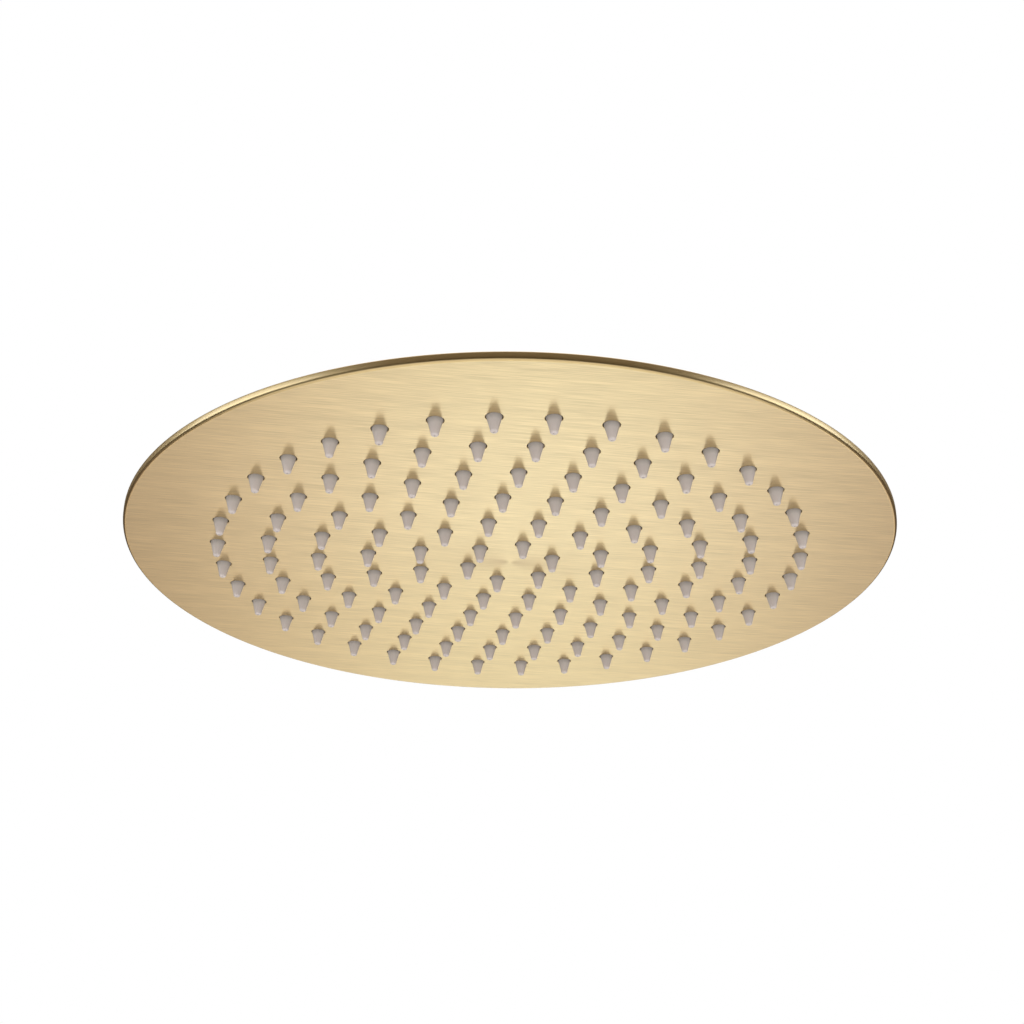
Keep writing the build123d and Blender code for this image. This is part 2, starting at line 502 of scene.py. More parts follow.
face_sizes = {
    "Hole Radius": hole_radius,
    "Hole Edge Round": hole_edge_round,
    "Face Edge Radius": face_edge,
    "Rim Inside Radius": rim_inside,
    "Middle Radius": middle_radius,
    "Sheet Thickness": sheet,
    "Apex Height": face_apex,
    "Cone Rise": cone_rise,
    "Face Material": brushed_face_gold(),
    "Rim Material": turned_gold("satin_rim_gold", rim_roughness, rim_line_scale),
}
face_tree, face_inputs = new_tree("punched_pan", face_sizes)
hole_places = nozzle_places(face_tree)
mouth_radius = maths(face_tree, "ADD", face_inputs["Hole Radius"], face_inputs["Hole Edge Round"])
hole_mouth = circle_curve(face_tree, hole_segments, mouth_radius)
sheet_below = filled(
    face_tree,
    circle_curve(face_tree, rim_segments, face_inputs["Face Edge Radius"]),
    copied_to(face_tree, hole_places, hole_mouth),
    circle_curve(face_tree, middle_segments, face_inputs["Middle Radius"]),
)
hole_back = circle_curve(face_tree, hole_segments, face_inputs["Hole Radius"])
sheet_above = filled(
    face_tree,
    circle_curve(face_tree, rim_segments, face_inputs["Rim Inside Radius"]),
    copied_to(face_tree, hole_places, hole_back),
)
pan = joined(
    face_tree,
    sheet_below,
    lifted(face_tree, sheet_above, face_inputs["Sheet Thickness"]),
    copied_to(face_tree, hole_places, object_shape(face_tree, hole_wall)),
    object_shape(face_tree, rim_wall),
    object_shape(face_tree, middle_disc),
)
pan = realized(face_tree, follow_cone(face_tree, pan, face_inputs))
pan = in_material(face_tree, pan, face_inputs["Face Material"])
edge_radius = face_inputs["Face Edge Radius"]
rim_faces = maths(face_tree, "GREATER_THAN", point_reach(face_tree), edge_radius)
pan = in_material(face_tree, pan, face_inputs["Rim Material"], Selection=rim_faces)
end_tree(face_tree, pan)

face_plate = grown_piece("face_plate_sheet", face_tree, face_sizes)
face_mesh = face_plate.data
close_shell(face_mesh)
smooth_shading(face_mesh, crease=40)

# The flat of the face takes the cone's own normal, so that its long triangles don't show.
looking_down = -0.99
face_normals = [vertex.normal.copy() for vertex in face_mesh.vertices]
for polygon in face_mesh.polygons:
    if polygon.normal.z < looking_down:
        for corner in polygon.vertices:
            outward = face_mesh.vertices[corner].co.xy.normalized() * cone_slope
            face_normals[corner] = Vector((outward.x, outward.y, -1)).normalized()
face_mesh.normals_split_custom_set_from_vertices(face_normals)

# The map runs across the brushing, which is straight on the face and goes round on the rim.
brushing = face_mesh.uv_layers.new(name="brushing")
across_brushing = Vector((-math.sin(brushing_turn), math.cos(brushing_turn), 0))
along_brushing = Vector((math.cos(brushing_turn), math.sin(brushing_turn), 0))
for polygon in face_mesh.polygons:
    on_rim = polygon.center.xy.length > face_edge
    middle_angle = math.atan2(polygon.center.y, polygon.center.x)
    for loop in polygon.loop_indices:
        point = face_mesh.vertices[face_mesh.loops[loop].vertex_index].co
        if on_rim:
            turn = math.atan2(point.y, point.x) - middle_angle
            turn = (turn + math.pi) % (2 * math.pi) - math.pi
            round_rim = (middle_angle + turn) * head_radius
            brushing.data[loop].uv = (point.xy.length + point.z, round_rim)
        else:
            brushing.data[loop].uv = (point.dot(across_brushing), point.dot(along_brushing))
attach(face_plate, "head")
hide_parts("face_plate")


# Nozzle mat: one moulding of warm grey silicone, a thin web that lies on the inside of the face
# with a tapered soft nozzle through every hole. Each nozzle has a rounded tip with a fine bore.
mat_low, mat_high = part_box("nozzle_mat")
mat_radius = (mat_high.x - mat_low.x) / 2
mat_gap = 0.00025
mat_thickness = 0.001
web_under = sheet + mat_gap
web_over = web_under + mat_thickness
web_edge_round = mat_thickness / 2
web_flat = mat_radius - web_edge_round
web_segments = 144
nozzle_radius = 0.00228
nozzle_tip_radius = 0.0012
nozzle_length = 0.00489
nozzle_tip_round = 0.00075
nozzle_taper = 12
nozzle_bore = 0.00032
nozzle_mouth = 0.00038
nozzle_segments = 18
silicone_painted_shade_root = (0.37, 0.335, 0.305)
silicone_body = (0.54, 0.485, 0.45)
silicone_painted_light_tip = (0.58, 0.505, 0.465)
silicone_body_depth = 0.3
silicone_tip_depth = 0.95
silicone_cloud_scale = 260.0
silicone_cloud_depth = 0.06
silicone_grain_scale = 5200.0
silicone_roughness = (0.42, 0.55)
silicone_relief = (0.1, 0.00003)


def grey_silicone():
    """Soft warm grey silicone, cloudy and dull, with painted shade darkening it near the face and
    painted light paling it towards the tip.
    """
    material, tree, shader = new_material("grey_silicone")
    place = object_place(tree)
    cloud = noise(tree, place, silicone_cloud_scale, detail=3.0)
    grain = noise(tree, place, silicone_grain_scale)
    # Painted shade and light: the colour runs from a dark root at the face, where shade falls, to a
    # pale tip, where more light falls.
    face_rise = product(tree, from_axis(tree, place)[1], cone_slope)
    face_height = maths(tree, "ADD", face_rise, face_apex)
    below_face = maths(tree, "SUBTRACT", face_height, split(tree, place)["Z"])
    depth = maths(tree, "DIVIDE", below_face, nozzle_length)
    unevenness = spread(tree, cloud, -silicone_cloud_depth, silicone_cloud_depth)
    shades = add_node(tree, "ShaderNodeValToRGB", {"Fac": maths(tree, "ADD", depth, unevenness)})
    root, tip = shades.color_ramp.elements
    root.color = (*silicone_painted_shade_root, 1)
    tip.position = silicone_tip_depth
    tip.color = (*silicone_painted_light_tip, 1)
    shades.color_ramp.elements.new(silicone_body_depth).color = (*silicone_body, 1)
    finish = {
        "Base Color": shades.outputs["Color"],
        "Roughness": spread(tree, grain, *silicone_roughness),
        "Normal": raised(tree, grain, *silicone_relief),
    }
    set_inputs(tree, shader, finish)
    return material


nozzle_profile = [(nozzle_radius, web_under), (nozzle_radius, 0.0)]
tip_centre = (nozzle_tip_radius - nozzle_tip_round, nozzle_tip_round - nozzle_length)
nozzle_profile += arc(tip_centre, nozzle_tip_round, nozzle_taper, -90, steps=5)
nozzle_profile += [
    (nozzle_mouth, -nozzle_length),
    (nozzle_bore, nozzle_mouth - nozzle_bore - nozzle_length),
    (nozzle_bore, web_over),
]
nozzle = template("nozzle", nozzle_profile, nozzle_segments)
web_edge_centre = (web_flat, web_under + web_edge_round)
web_edge_profile = arc(web_edge_centre, web_edge_round, -90, 90, steps=6)
web_edge = template("web_edge", web_edge_profile, web_segments)

mat_sizes = {
    "Web Radius": web_flat,
    "Web Underside": web_under,
    "Web Top": web_over,
    "Nozzle Root Radius": nozzle_radius,
    "Nozzle Bore Radius": nozzle_bore,
    "Apex Height": face_apex,
    "Cone Rise": cone_rise,
    "Face Edge Radius": face_edge,
    "Material": grey_silicone(),
}
mat_tree, mat_inputs = new_tree("nozzle_mat", mat_sizes)
root_places = nozzle_places(mat_tree)
web_outline = circle_curve(mat_tree, web_segments, mat_inputs["Web Radius"])
web_sides = []
web_openings = {"Web Underside": "Nozzle Root Radius", "Web Top": "Nozzle Bore Radius"}
for web_level, opening_size in web_openings.items():
    opening = circle_curve(mat_tree, nozzle_segments, mat_inputs[opening_size])
    web_side = filled(mat_tree, web_outline, copied_to(mat_tree, root_places, opening))
    web_sides.append(lifted(mat_tree, web_side, mat_inputs[web_level]))
nozzles = copied_to(mat_tree, root_places, object_shape(mat_tree, nozzle))
moulding = joined(mat_tree, *web_sides, nozzles, object_shape(mat_tree, web_edge))
moulding = realized(mat_tree, follow_cone(mat_tree, moulding, mat_inputs))
end_tree(mat_tree, in_material(mat_tree, moulding, mat_inputs["Material"]))

nozzle_mat = grown_piece("nozzle_mat_silicone", mat_tree, mat_sizes)
close_shell(nozzle_mat.data)
smooth_shading(nozzle_mat.data, crease=50)
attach(nozzle_mat, "head")
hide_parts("nozzle_mat")


# Back plate: the top pressing that closes the water chamber, let into the rim and rising as a
# shallow cone to the turned neck brazed to its middle. It is coated gold like the face, and the
# neck's inside is the socket of the swivel ball.
back_low, back_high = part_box("back_plate")
back_radius = (back_high.x - back_low.x) / 2
neck_top = back_high.z
ball_centre = frame["record"]["behaviour"]["joints"][0]["pos_m"][2]
socket_radius = 0.0109
socket_outlet = 0.0065
socket_floor = 0.002
neck_wall = 0.0019
neck_radius = socket_radius + neck_wall
back_border = 0.01
back_rise = 0.007
back_ease = 0.0002
border_radius = back_radius - back_border
neck_foot_round = 0.0012
neck_foot = rim_top + back_rise
neck_foot_radius = neck_radius + neck_foot_round
outlet_height = ball_centre - math.sqrt(socket_radius**2 - socket_outlet**2)
outlet_angle = math.degrees(math.asin((outlet_height - ball_centre) / socket_radius))
socket_lip_angle = 4
back_segments = 192
back_roughness = 0.30
back_line_scale = 2200.0


def eased(profile, ease, crease=25, most=0.4, bulge=0.4):
    """Closed profile with its sharp corners rounded, over at most a share of each side."""
    points = []
    for number, corner in enumerate(profile):
        here = Vector(corner)
        before = Vector(profile[number - 1]) - here
        after = Vector(profile[(number + 1) % len(profile)]) - here
        if math.degrees(before.angle(-after)) < crease:
            points.append(corner)
            continue
        start = here + before.normalized() * min(ease, before.length * most)
        end = here + after.normalized() * min(ease, after.length * most)
        middle = (start + end) * ((1 - bulge) / 2) + here * bulge
        points += [tuple(start), tuple(middle), tuple(end)]
    return points


def turned_piece(name, profile, segments, material, crease=30):
    """Closed profile turned into a solid ring about Z."""
    mesh = turned_mesh(name, profile + profile[:1], segments)
    close_shell(mesh)
    smooth_shading(mesh, crease)
    mesh.materials.append(material)
    return new_piece(name, mesh)


back_profile = [
    (socket_outlet, outlet_height),
    (socket_outlet, outlet_height - socket_floor),
    (neck_radius, outlet_height - socket_floor),
    (border_radius, rim_top - sheet),
    (back_radius, rim_top - sheet),
    (back_radius, rim_top),
    (border_radius, rim_top),
    (neck_foot_radius, neck_foot),
]
neck_profile = [
    (neck_radius, neck_foot + 2 * neck_foot_round),
    (neck_radius, neck_top),
    (socket_radius, neck_top),
    (socket_radius, ball_centre),
]
back_profile = eased(back_profile, back_ease)
neck_round_centre = (neck_foot_radius, neck_foot + neck_foot_round)
back_profile += arc(neck_round_centre, neck_foot_round, 260, 180, steps=5)
back_profile += eased(neck_profile, back_ease, crease=60)
socket_end = outlet_angle + socket_lip_angle
back_profile += arc((0.0, ball_centre), socket_radius, -socket_lip_angle, socket_end, steps=10)
back_gold = turned_gold("brushed_back_gold", back_roughness, back_line_scale)
back_plate = turned_piece("back_plate_pressing", back_profile, back_segments, back_gold)
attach(back_plate, "head")
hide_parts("back_plate")


# Collar nut: turned brass nut that screws down over the neck, and whose inner cone keeps the ball
# in its socket. It has two flats for a spanner and a satin gold coating.
collar_low, collar_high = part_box("collar_nut")
collar_radius = (collar_high.x - collar_low.x) / 2
collar_fit = 0.00015
collar_bore = neck_radius + collar_fit
collar_throat = 0.0088
collar_seat_angle = math.radians(60)
collar_end_gap = 0.0003
collar_shoulder = neck_top + collar_end_gap
collar_chamfer = 0.001
collar_ease = 0.00025
collar_flats = 0.029
collar_flat_height = 0.006
collar_segments = 96
collar_roughness = 0.26
collar_line_scale = 2600.0
deburr_width = 0.0002
deburr_angle = math.radians(42)


def seat_radius(height):
    """Radius of the cone that touches the ball's socket, at a height above the ball's centre."""
    return (socket_radius - height * math.cos(collar_seat_angle)) / math.sin(collar_seat_angle)


def seat_height(radius):
    """Height above the ball's centre at which that cone has a radius."""
    return (socket_radius - radius * math.sin(collar_seat_angle)) / math.cos(collar_seat_angle)


def mill_flats(piece, across, low, high):
    """Mills two opposite spanner flats, square to Y, on a round piece between two heights."""
    blocks = bmesh.new()
    for side in (-1, 1):
        middle = Matrix.Translation((0, side * across, (low + high) / 2))
        block = middle @ Matrix.Diagonal((2 * across, across, high - low, 1))
        bmesh.ops.create_cube(blocks, size=1.0, matrix=block)
    cutter = new_piece("flats_cutter", bpy.data.meshes.new("flats_cutter"))
    blocks.to_mesh(cutter.data)
    blocks.free()
    milling = piece.modifiers.new("flats", "BOOLEAN")
    milling.operation = "DIFFERENCE"
    milling.solver = "EXACT"
    milling.object = cutter
    deburring = piece.modifiers.new("deburring", "BEVEL")
    deburring.limit_method = "ANGLE"
    deburring.angle_limit = deburr_angle
    deburring.width = deburr_width
    deburring.segments = 2
    apply_modifiers(piece)
    bpy.data.objects.remove(cutter)
    smooth_shading(piece.data, crease=30)
    piece.modifiers.new("even_shading", "WEIGHTED_NORMAL").keep_sharp = True
    apply_modifiers(piece)


collar_profile = [
    (collar_bore, collar_low.z),
    (collar_radius, collar_low.z),
    (collar_radius, collar_high.z - collar_chamfer),
    (collar_radius - collar_chamfer, collar_high.z),
    (collar_throat, collar_high.z),
    (collar_throat, ball_centre + seat_height(collar_throat)),
    (seat_radius(collar_shoulder - ball_centre), collar_shoulder),
    (collar_bore, collar_shoulder),
]
collar_profile = eased(collar_profile, collar_ease)
collar_gold = turned_gold("satin_collar_gold", collar_roughness, collar_line_scale)
collar_nut = turned_piece("collar_nut_turned", collar_profile, collar_segments, collar_gold)
mill_flats(
    collar_nut,
    collar_flats,
    collar_low.z - collar_flat_height,
    collar_low.z + collar_flat_height,
)
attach(collar_nut, "head")
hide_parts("collar_nut")


# Swivel ball: turned from one bar of brass with its stem and the inlet, which is threaded inside
# for the shower arm and has two spanner flats. It is coated gold, and the ball is polished and
# grooved for its seal.
inlet_low, inlet_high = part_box("swivel_ball")
inlet_radius = (inlet_high.x - inlet_low.x) / 2
inlet_mouth = inlet_high.z
inlet_mount = frame["record"]["mounts"][0]["dims"]
thread_bore = inlet_mount["r_mm"] / 1000
thread_depth = inlet_mount["length_mm"] / 1000
thread_pitch = 0.001814
thread_cut = 0.001162
thread_fade = 0.0006
thread_lead = 0.0005
thread_rows = 9
thread_end = inlet_mouth - thread_depth
thread_low = thread_end + thread_lead
thread_high = inlet_mouth - thread_lead
inlet_segments = 72
inlet_chamfer = 0.001
inlet_ease = 0.00025
inlet_flats = 0.024
inlet_flat_height = 0.008
pocket_radius = 0.0097
pocket_depth = 0.0025
pocket_floor = thread_end - pocket_depth
inlet_floor = 0.0025
inlet_underside = pocket_floor - inlet_floor
waterway = 0.004
stem_radius = 0.006
stem_foot_rise = 0.001
ball_radius = 0.0105
ball_steps = 10
ball_cut = ball_centre - inlet_low.z
ball_roughness = 0.17
ball_line_scale = 2600.0
groove_half = 0.0011
groove_radius = 0.00885
groove_low = ball_centre - groove_half
groove_high = ball_centre + groove_half


def angle_on_ball(height=None, radius=None):
    """Angle in degrees of the point of the ball at a height from its centre, or at a radius."""
    if height is None:
        return math.degrees(math.acos(radius / ball_radius))
    return math.degrees(math.asin(height / ball_radius))


def ball_arc(start, end):
    """Points of the ball's profile between two angles."""
    return arc((0.0, ball_centre), ball_radius, start, end, ball_steps)


def threaded_bore_mesh(name, low, high, segments):
    """Inside of the threaded hole: a helical groove that runs out at both ends."""
    rows = round((high - low) / thread_pitch * thread_rows)
    points = []
    for row in range(rows + 1):
        height = low + (high - low) * row / rows
        run_out = min(1.0, (height - low) / thread_fade, (high - height) / thread_fade)
        for step in range(segments):
            turn = step / segments
            groove = 0.5 - 0.5 * math.cos(2 * math.pi * (height / thread_pitch - turn))
            radius = thread_bore + thread_cut * groove * run_out
            angle = 2 * math.pi * turn
            points.append((radius * math.cos(angle), radius * math.sin(angle), height))
    return new_mesh(name, points, wrapped_faces(rows + 1, segments))


groove_angle = angle_on_ball(height=groove_half)
stem_foot = ball_centre + math.sqrt(ball_radius**2 - stem_radius**2) + stem_foot_rise
inlet_profile = [
    (thread_bore, thread_low),
    (thread_bore, thread_end),
    (pocket_radius, thread_end),
    (pocket_radius, pocket_floor),
    (waterway, pocket_floor),
    (waterway, inlet_low.z),
]
inlet_profile += ball_arc(angle_on_ball(height=-ball_cut), -groove_angle)
inlet_profile += [(groove_radius, groove_low), (groove_radius, groove_high)]
inlet_profile += ball_arc(groove_angle, angle_on_ball(radius=stem_radius))
inlet_outside = [
    (stem_radius, stem_foot),
    (stem_radius, inlet_underside),
    (inlet_radius - inlet_chamfer, inlet_underside),
    (inlet_radius, inlet_underside + inlet_chamfer),
    (inlet_radius, inlet_mouth),
    (thread_bore, inlet_mouth),
    (thread_bore, thread_high),
]
inlet_profile += eased(inlet_outside, inlet_ease, crease=95)
inlet_mesh = turned_mesh("swivel_ball_turned", inlet_profile, inlet_segments)
thread_mesh = threaded_bore_mesh("inlet_thread", thread_low, thread_high, inlet_segments)
inlet_shell = bmesh.new()
inlet_shell.from_mesh(inlet_mesh)
inlet_shell.from_mesh(thread_mesh)
inlet_shell.to_mesh(inlet_mesh)
inlet_shell.free()
close_shell(inlet_mesh)
inlet_mesh.materials.append(turned_gold("polished_ball_gold", ball_roughness, ball_line_scale))
swivel_ball = new_piece("swivel_ball_turned", inlet_mesh)
mill_flats(
    swivel_ball,
    inlet_flats,
    inlet_mouth - inlet_flat_height,
    inlet_mouth + inlet_flat_height,
)
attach(swivel_ball, "inlet")
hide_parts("swivel_ball")


# Ball seal: moulded band of black rubber, sprung into the ball's groove, which wipes the socket as
# the head turns. Its edges are rounded by the mould.
seal_low, seal_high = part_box("ball_seal")
seal_outside = (seal_high.x - seal_low.x) / 2
seal_thickness = 0.0016
seal_inside = seal_outside - seal_thickness
seal_ease = 0.0003
seal_segments = 72
rubber_black = (0.018, 0.018, 0.02)
rubber_bloom = (0.045, 0.044, 0.044)
rubber_bloom_scale = 450.0
rubber_grain_scale = 6000.0
rubber_roughness = (0.55, 0.75)
rubber_relief = (0.2, 0.00004)


def black_rubber(name):
    """Matt black moulded rubber with a dusty bloom and a fine grain."""
    material, tree, shader = new_material(name)
    place = object_place(tree)
    bloom = noise(tree, place, rubber_bloom_scale, detail=3.0)
    grain = noise(tree, place, rubber_grain_scale)
    finish = {
        "Base Color": two_colours(tree, spread(tree, bloom), rubber_black, rubber_bloom),
        "Roughness": spread(tree, grain, *rubber_roughness),
        "Normal": raised(tree, grain, *rubber_relief),
    }
    set_inputs(tree, shader, finish)
    return material


def flat_ring(inside, outside, low, high, ease):
    """Profile of a flat ring with its edges eased."""
    return eased([(inside, low), (outside, low), (outside, high), (inside, high)], ease)


seal_profile = flat_ring(seal_inside, seal_outside, seal_low.z, seal_high.z, seal_ease)
seal_rubber = black_rubber("seal_rubber")
ball_seal = turned_piece("ball_seal_band", seal_profile, seal_segments, seal_rubber)
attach(ball_seal, "seal")
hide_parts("ball_seal")


# Filter screen: disc of woven stainless wire in a rolled steel ring, laid on the floor of the inlet
# to keep grit out of the nozzles.
screen_low, screen_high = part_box("filter_screen")
screen_radius = (screen_high.x - screen_low.x) / 2
screen_thickness = screen_high.z - screen_low.z
screen_middle = (screen_high.z + screen_low.z) / 2
screen_border = 0.0005
screen_inside = screen_radius - screen_border
screen_ease = screen_thickness / 3
screen_segments = 72
wire_radius = screen_thickness / 4
wire_pitch = 0.0008
wire_count = 2 * int(screen_radius / wire_pitch) + 1
wire_sides = 6
wire_dark = (0.46, 0.46, 0.45)
wire_light = (0.62, 0.61, 0.60)
wire_mark_scale = 3000.0
wire_roughness = (0.38, 0.26)


def steel_wire():
    """Drawn stainless wire, slightly uneven in brightness."""
    material, tree, shader = new_material("steel_wire")
    draw_marks = noise(tree, object_place(tree), wire_mark_scale)
    finish = {
        "Base Color": two_colours(tree, spread(tree, draw_marks), wire_dark, wire_light),
        "Roughness": spread(tree, draw_marks, *wire_roughness),
        "Metallic": 1.0,
    }
    set_inputs(tree, shader, finish)
    return material


screen_profile = flat_ring(
    screen_inside, screen_radius, screen_low.z, screen_high.z, screen_ease
)
screen_ring = template("screen_ring", screen_profile + screen_profile[:1], screen_segments)

# One set of wires is bent over and under in turn. The other is the same set, turned across it.
screen_sizes = {
    "Wire Count": wire_count,
    "Wire Pitch": wire_pitch,
    "Wire Radius": wire_radius,
    "Woven Radius": screen_radius - screen_border / 2,
    "Height": screen_middle,
    "Material": steel_wire(),
}
screen_tree, screen_inputs = new_tree("woven_screen", screen_sizes)
count_of_wires = screen_inputs["Wire Count"]
pitch_of_wires = screen_inputs["Wire Pitch"]
weave_reach = maths(screen_tree, "DIVIDE", count_of_wires, 2.0)
weave_reach = product(screen_tree, weave_reach, pitch_of_wires)
wire_ends = {
    "Start": vector_of(screen_tree, X=product(screen_tree, weave_reach, -1.0)),
    "End": vector_of(screen_tree, X=weave_reach),
}
straight_wire = add_node(screen_tree, "GeometryNodeCurvePrimitiveLine", wire_ends).outputs[0]
wire_points = {"Curve": straight_wire, "Count": product(screen_tree, count_of_wires, 4.0)}
straight_wire = add_node(screen_tree, "GeometryNodeResampleCurve", wire_points).outputs[0]
wire_number = screen_tree.nodes.new("GeometryNodeInputIndex").outputs[0]
wires_aside = maths(screen_tree, "SUBTRACT", count_of_wires, 1.0)
wires_aside = maths(screen_tree, "DIVIDE", wires_aside, 2.0)
wire_side = maths(screen_tree, "SUBTRACT", wire_number, wires_aside)
wire_side = product(screen_tree, wire_side, pitch_of_wires)
wire_row = {"Count": count_of_wires, "Position": vector_of(screen_tree, Y=wire_side)}
wire_places = add_node(screen_tree, "GeometryNodePoints", wire_row).outputs[0]
warp = copied_to(screen_tree, wire_places, straight_wire)
wire_point = split(screen_tree, point_place(screen_tree))
waves = []
for wire_axis in ("X", "Y"):
    wave_turn = maths(screen_tree, "DIVIDE", wire_point[wire_axis], pitch_of_wires)
    waves.append(maths(screen_tree, "COSINE", product(screen_tree, wave_turn, math.pi)))
warp = bent(screen_tree, warp, product(screen_tree, *waves, screen_inputs["Wire Radius"]))
turned_across = {"Geometry": warp, "Rotation": (math.pi, 0, math.pi / 2)}
weft = add_node(screen_tree, "GeometryNodeTransform", turned_across).outputs[0]
woven_radius = screen_inputs["Woven Radius"]
beyond_ring = {
    "Geometry": joined(screen_tree, warp, weft),
    "Selection": maths(screen_tree, "GREATER_THAN", point_reach(screen_tree), woven_radius),
}
weave = add_node(screen_tree, "GeometryNodeDeleteGeometry", beyond_ring, domain="POINT")
round_wire = {
    "Curve": weave.outputs[0],
    "Profile Curve": circle_curve(screen_tree, wire_sides, screen_inputs["Wire Radius"]),
    "Fill Caps": True,
}
weave = add_node(screen_tree, "GeometryNodeCurveToMesh", round_wire).outputs[0]
weave = lifted(screen_tree, weave, screen_inputs["Height"])
screen = joined(screen_tree, weave, object_shape(screen_tree, screen_ring))
screen = realized(screen_tree, screen)
end_tree(screen_tree, in_material(screen_tree, screen, screen_inputs["Material"]))

filter_screen = grown_piece("filter_screen_woven", screen_tree, screen_sizes)
close_shell(filter_screen.data)
smooth_shading(filter_screen.data, crease=50)
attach(filter_screen, "inlet")
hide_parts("filter_screen")


# Inlet washer: flat ring stamped from black rubber, which lies on the screen and seals against the
# end of the shower arm.
washer_low, washer_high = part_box("inlet_washer")
washer_outside = (washer_high.x - washer_low.x) / 2
washer_inside = 0.006
washer_ease = 0.0002
washer_segments = 72
washer_profile = flat_ring(
    washer_inside, washer_outside, washer_low.z, washer_high.z, washer_ease
)
washer_rubber = black_rubber("washer_rubber")
inlet_washer = turned_piece("inlet_washer_ring", washer_profile, washer_segments, washer_rubber)
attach(inlet_washer, "inlet")
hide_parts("inlet_washer")


# Stage: a pale floor far below and a white surround, which the metal mirrors too. Studio cards that
# show only in reflections stand round the head, a glowing sweep for the face and dark warm cloth
# for the rim. Soft boxes light it from both sides, from the front and from above.
floor_height = -0.9
floor_half = 6.0
floor_grey = (0.85, 0.85, 0.85, 1)
floor_roughness = 0.9
floor_fade_range = (0.8, 4.0)
floor_near_white = 0.6
white = (1, 1, 1, 1)


def background_rays(tree):
    """One for the rays that see the background: from the camera, mirrored or through glass."""
    rays = tree.nodes.new("ShaderNodeLightPath").outputs
    mirrored = maths(tree, "MAXIMUM", rays["Is Glossy Ray"], rays["Is Transmission Ray"])
    return maths(tree, "MAXIMUM", rays["Is Camera Ray"], mirrored)


floor_corners = [
    (-floor_half, -floor_half, floor_height),
    (floor_half, -floor_half, floor_height),
    (floor_half, floor_half, floor_height),
    (-floor_half, floor_half, floor_height),
]
floor = new_piece("floor", new_mesh("floor", floor_corners, [(0, 1, 2, 3)]))
floor_paper, floor_nodes, floor_shader = new_material("pale_floor_paper")
floor_finish = {"Base Color": floor_grey, "Roughness": floor_roughness}
set_inputs(floor_nodes, floor_shader, floor_finish)
floor_white = add_node(floor_nodes, "ShaderNodeEmission", {"Color": white, "Strength": 1.0})
floor_reach = from_axis(floor_nodes, object_place(floor_nodes))[1]
floor_fade = remap(floor_nodes, floor_reach, *floor_fade_range, floor_near_white, 1.0)
floor_mix = {
    0: product(floor_nodes, background_rays(floor_nodes), floor_fade),
    1: floor_shader.outputs[0],
    2: floor_white.outputs[0],
}
floor_surface = add_node(floor_nodes, "ShaderNodeMixShader", floor_mix).outputs[0]
floor_end = floor_nodes.nodes["Material Output"]
set_inputs(floor_nodes, floor_end, {"Surface": floor_surface})
floor.data.materials.append(floor_paper)

world = bpy.data.worlds.new("white_surround")
world.use_nodes = True
surround = world.node_tree.nodes["Background"]
set_inputs(world.node_tree, surround, {"Color": white, "Strength": 1.0})
bpy.context.scene.world = world

sweep_half_width = 1.7
sweep_profile = [
    (0.12, -0.45), (1.6, -0.45), (2.1, -0.38), (2.45, -0.18), (2.6, 0.15), (2.6, 2.2),
]
sweep_source = Vector((-0.025, -0.48))
sweep_middle = 0.08
sweep_spread = 0.22
sweep_peak = 2.6
sweep_low = 0.22
sweep_near_range = (0.25, 0.52)
sweep_near_share = 0.15
sweep_far_range = (0.68, 1.0)
sweep_far_share = 0.14
sweep_edge_colour = (1.14, 0.905, 0.785)
sweep_colour = (1.0, 1.06, 1.05)


def reflector(card, glow_name):
    """Makes a sheet a studio card that only shows in reflections, and gives its emission node."""
    glow = bpy.data.materials.new(glow_name)
    glow.use_nodes = True
    tree = glow.node_tree
    tree.nodes.remove(tree.nodes["Principled BSDF"])
    light = tree.nodes.new("ShaderNodeEmission")
    set_inputs(tree, tree.nodes["Material Output"], {"Surface": light.outputs[0]})
    card.data.materials.append(glow)
    card.visible_camera = False
    card.visible_diffuse = False
    card.visible_shadow = False
    return tree, light


def strip(name, paths):
    """Sheet between paths of points that run side by side."""
    points = [point for path in paths for point in path]
    count = len(paths[0])
    faces = []
    for row in range(len(paths) - 1):
        for step in range(count - 1):
            near = row * count + step
            faces.append((near, near + 1, near + 1 + count, near + count))
    return new_piece(name, new_mesh(name, points, faces))


sweep_sides = [[(side * sweep_half_width, y, z) for y, z in sweep_profile] for side in (-1, 1)]
sweep_nodes, sweep_light = reflector(strip("glowing_sweep", sweep_sides), "soft_sweep_glow")
sweep_place = split(sweep_nodes, object_place(sweep_nodes))
sweep_across = maths(sweep_nodes, "SUBTRACT", sweep_place["X"], sweep_source.x)
sweep_away = maths(sweep_nodes, "SUBTRACT", sweep_place["Y"], sweep_source.y)
sweep_side = maths(sweep_nodes, "DIVIDE", sweep_across, sweep_away)
sweep_side = maths(sweep_nodes, "SUBTRACT", sweep_side, sweep_middle)
sweep_side = maths(sweep_nodes, "DIVIDE", sweep_side, sweep_spread)
sweep_fall = product(sweep_nodes, sweep_side, sweep_side, -0.5)
sweep_share = maths(sweep_nodes, "EXPONENT", sweep_fall)
sweep_near = remap(sweep_nodes, sweep_place["Y"], *sweep_near_range, sweep_near_share, 1.0)
sweep_far = remap(sweep_nodes, sweep_place["Y"], *sweep_far_range, 1.0, sweep_far_share)
sweep_level = remap(sweep_nodes, sweep_share, 0.0, 1.0, sweep_low, sweep_peak)
sweep_glow = {
    "Strength": product(sweep_nodes, sweep_level, sweep_near, sweep_far),
    "Color": two_colours(sweep_nodes, sweep_share, sweep_edge_colour, sweep_colour),
}
set_inputs(sweep_nodes, sweep_light, sweep_glow)

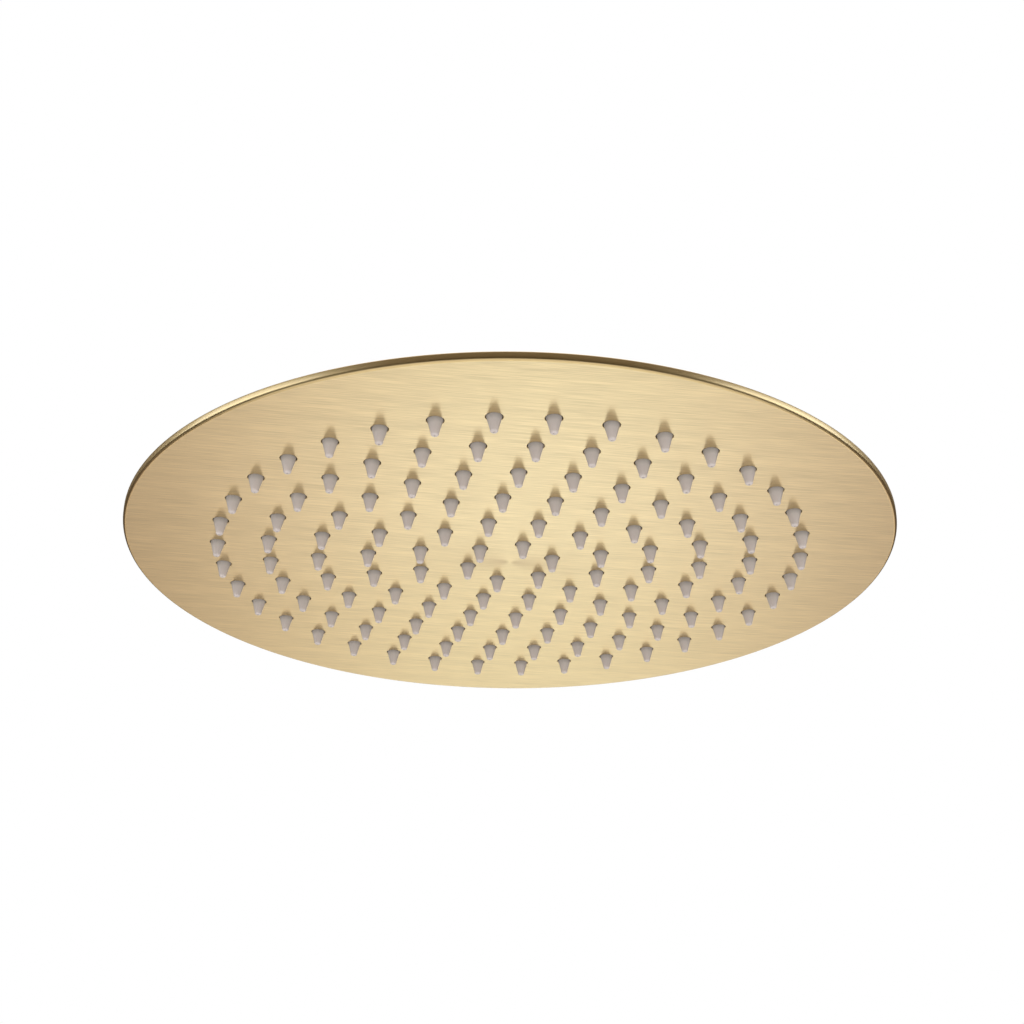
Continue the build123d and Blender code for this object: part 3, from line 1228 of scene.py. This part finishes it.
flag_rows = [(0.9, -0.8), (2.0, -0.78), (2.0, 0.0), (2.0, 1.2), (1.5, 2.1)]
flag_half_turn = math.radians(150)
flag_steps = 40
flag_fade_range = (-0.4, 0.8)
flag_low_level = 0.06
flag_high_level = 0.16
flag_colour = (1.0, 0.8, 0.6, 1)
flag_turns = [flag_half_turn * (2 * step / flag_steps - 1) for step in range(flag_steps + 1)]
flag_paths = [
    [(reach * math.sin(turn), -reach * math.cos(turn), height) for turn in flag_turns]
    for reach, height in flag_rows
]
flag_nodes, flag_light = reflector(strip("dark_flags", flag_paths), "dark_flag_cloth")
flag_height = split(flag_nodes, object_place(flag_nodes))["Z"]
flag_level = remap(flag_nodes, flag_height, *flag_fade_range, flag_low_level, flag_high_level)
set_inputs(flag_nodes, flag_light, {"Strength": flag_level, "Color": flag_colour})

head_middle = Vector((0.0, 0.0, rim_underside))
side_box_reach = 1.0
side_box_turn = math.radians(76)
side_box_rise = 0.25
side_box_size = (0.8, 0.6)
side_box_power = 3.2
side_box_colour = (0.88, 0.98, 1.14)
front_box_place = (-0.1, -1.1, -0.55)
front_box_size = (1.2, 0.8)
front_box_power = 3.2
overhead_box_place = (0.2, 0.5, 1.3)
overhead_box_size = (1.0, 1.0)
overhead_box_power = 1.4


def soft_box(name, place, size, power, colour=(1, 1, 1)):
    """Rectangular area lamp that faces the middle of the head."""
    lamp = bpy.data.lights.new(name, "AREA")
    lamp.shape = "RECTANGLE"
    lamp.size, lamp.size_y = size
    lamp.energy = power
    lamp.color = colour
    holder = bpy.data.objects.new(name, lamp)
    bpy.context.scene.collection.objects.link(holder)
    holder.location = place
    holder.rotation_euler = (head_middle - Vector(place)).to_track_quat("-Z", "Y").to_euler()
    holder.visible_camera = False
    return holder


for side, side_box_name in ((-1, "left_soft_box"), (1, "right_soft_box")):
    side_box_place = (
        side * side_box_reach * math.sin(side_box_turn),
        -side_box_reach * math.cos(side_box_turn),
        rim_underside + side_box_rise,
    )
    soft_box(side_box_name, side_box_place, side_box_size, side_box_power, side_box_colour)
front_box = soft_box("front_soft_box", front_box_place, front_box_size, front_box_power)
front_box.visible_glossy = False
soft_box("overhead_soft_box", overhead_box_place, overhead_box_size, overhead_box_power)

# The camera stands below the head and in front of it, and looks up at the face.
photo_width = 1024
focal_pixels = 1605.9
camera_drop = 0.22047
camera_place = Vector((-0.02488, -0.48173, rim_underside - camera_drop))
camera_turn = math.radians(-3.0325)
camera_pitch = math.radians(26.2389)
camera_roll = math.radians(0.3233)
camera_data = bpy.data.cameras.new("photo_camera")
camera_data.sensor_width = 36.0
camera_data.lens = focal_pixels / photo_width * camera_data.sensor_width
camera = bpy.data.objects.new("photo_camera", camera_data)
bpy.context.scene.collection.objects.link(camera)
camera.matrix_world = (
    Matrix.Translation(camera_place)
    @ Matrix.Rotation(camera_turn, 4, "Z")
    @ Matrix.Rotation(math.pi / 2 + camera_pitch, 4, "X")
    @ Matrix.Rotation(camera_roll, 4, "Z")
)
bpy.context.scene.camera = camera
bpy.context.scene.view_settings.view_transform = "Standard"
